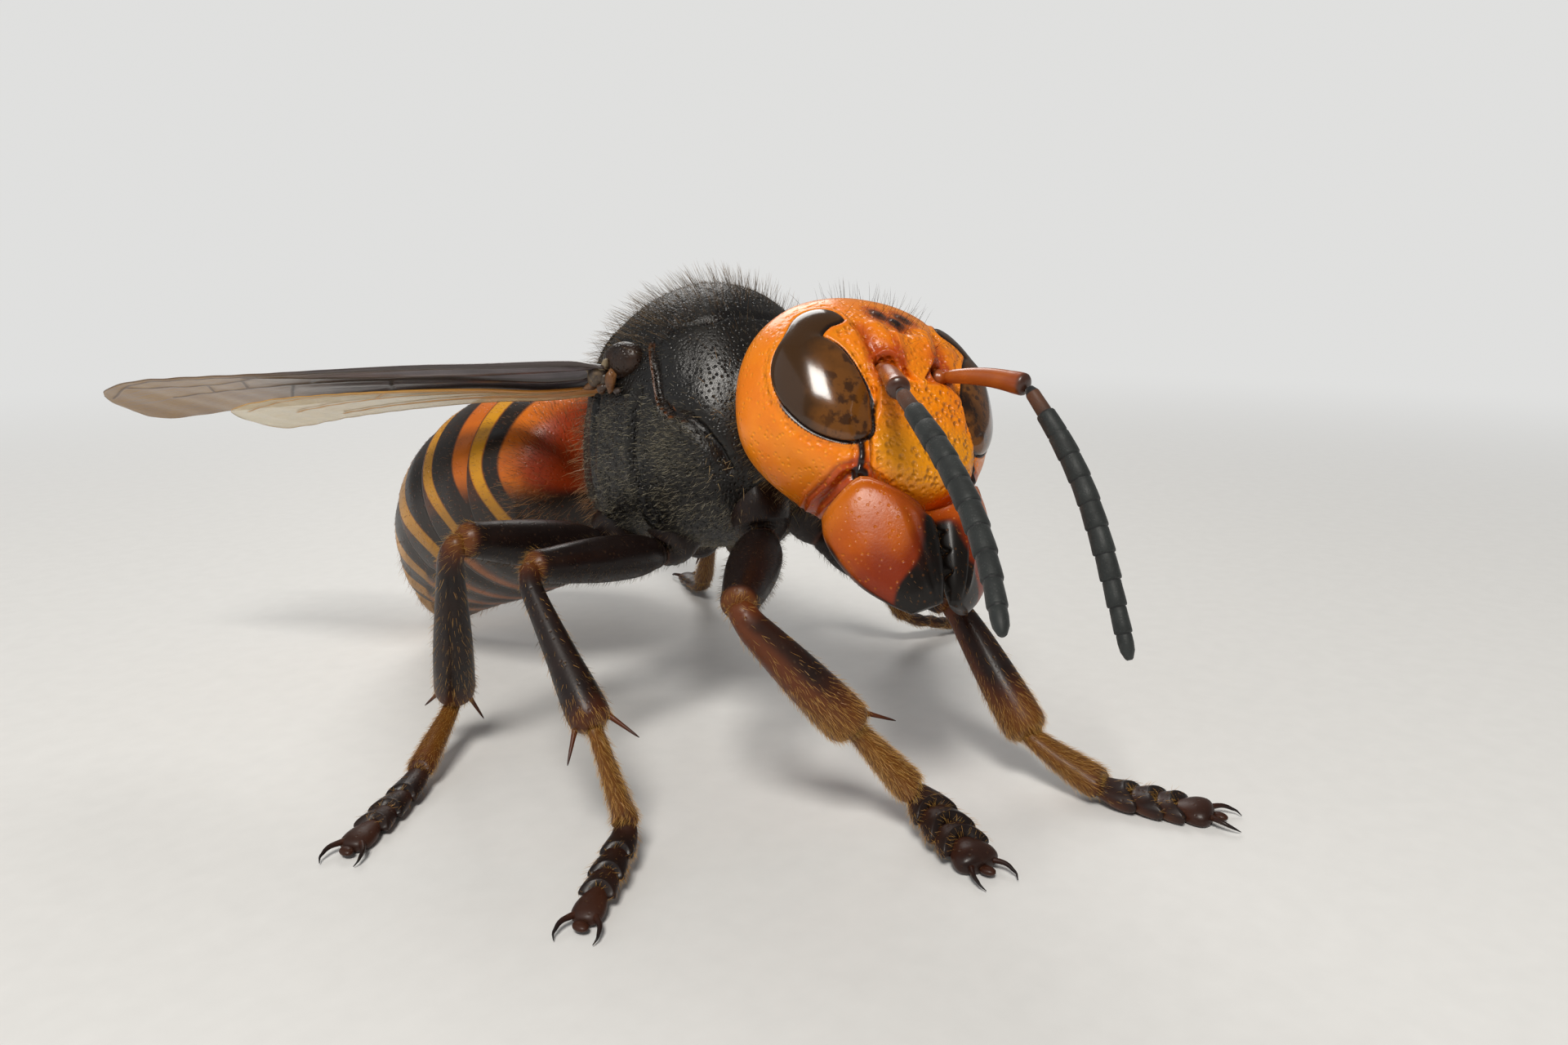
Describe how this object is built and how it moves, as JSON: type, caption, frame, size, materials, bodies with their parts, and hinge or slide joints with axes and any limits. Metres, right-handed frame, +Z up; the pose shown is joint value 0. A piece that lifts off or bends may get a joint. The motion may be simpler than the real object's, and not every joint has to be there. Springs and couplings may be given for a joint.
{
  "type": "asian giant hornet",
  "caption": "Life-size still model of a giant hornet standing on its feet, head turned and gaster hanging, wings half spread back.",
  "frame": {"origin": "centre of the bounding box at the level of the soles of the feet", "axes": "+Z up from the floor, -Y the way the body points and the head faces, +X to the hornet's left"},
  "size_m": [0.0408, 0.053, 0.0214],
  "materials": {
    "head_shell": "glossy orange chitin, finely pitted",
    "eye": "smooth dark brown compound eye",
    "jaw": "glossy orange-red chitin with black inner edge",
    "scape": "red-brown chitin",
    "whip": "matt slate-grey segments",
    "thorax_shell": "black-brown chitin with short golden hair",
    "gaster_bands": "orange and black-brown banded chitin",
    "wing_membrane": "smoky amber membrane with raised veins",
    "leg_shell": "dark brown chitin with fine bristles",
    "foot_shell": "amber-brown joints with golden bristles"
  },
  "bodies": {
    "root": {"eye_left": "eye", "eye_right": "eye", "flagellum_left": "whip", "flagellum_right": "whip", "fore_left_coxa": "leg_shell", "fore_left_femur": "leg_shell", "fore_left_tarsus": "foot_shell", "fore_left_tibia": "leg_shell", "fore_right_coxa": "leg_shell", "fore_right_femur": "leg_shell", "fore_right_tarsus": "foot_shell", "fore_right_tibia": "leg_shell", "forewing_left": "wing_membrane", "forewing_right": "wing_membrane", "gaster_1": "gaster_bands", "gaster_2": "gaster_bands", "gaster_3": "gaster_bands", "gaster_4": "gaster_bands", "gaster_5": "gaster_bands", "gaster_6": "gaster_bands", "head": "head_shell", "hind_left_coxa": "leg_shell", "hind_left_femur": "leg_shell", "hind_left_tarsus": "foot_shell", "hind_left_tibia": "leg_shell", "hind_right_coxa": "leg_shell", "hind_right_femur": "leg_shell", "hind_right_tarsus": "foot_shell", "hind_right_tibia": "leg_shell", "hindwing_left": "wing_membrane", "hindwing_right": "wing_membrane", "mandible_left": "jaw", "mandible_right": "jaw", "mid_left_coxa": "leg_shell", "mid_left_femur": "leg_shell", "mid_left_tarsus": "foot_shell", "mid_left_tibia": "leg_shell", "mid_right_coxa": "leg_shell", "mid_right_femur": "leg_shell", "mid_right_tarsus": "foot_shell", "mid_right_tibia": "leg_shell", "neck": "thorax_shell", "scape_left": "scape", "scape_right": "scape", "tegula_left": "thorax_shell", "tegula_right": "thorax_shell", "thorax": "thorax_shell", "waist": "thorax_shell"}
  },
  "joints": []
}
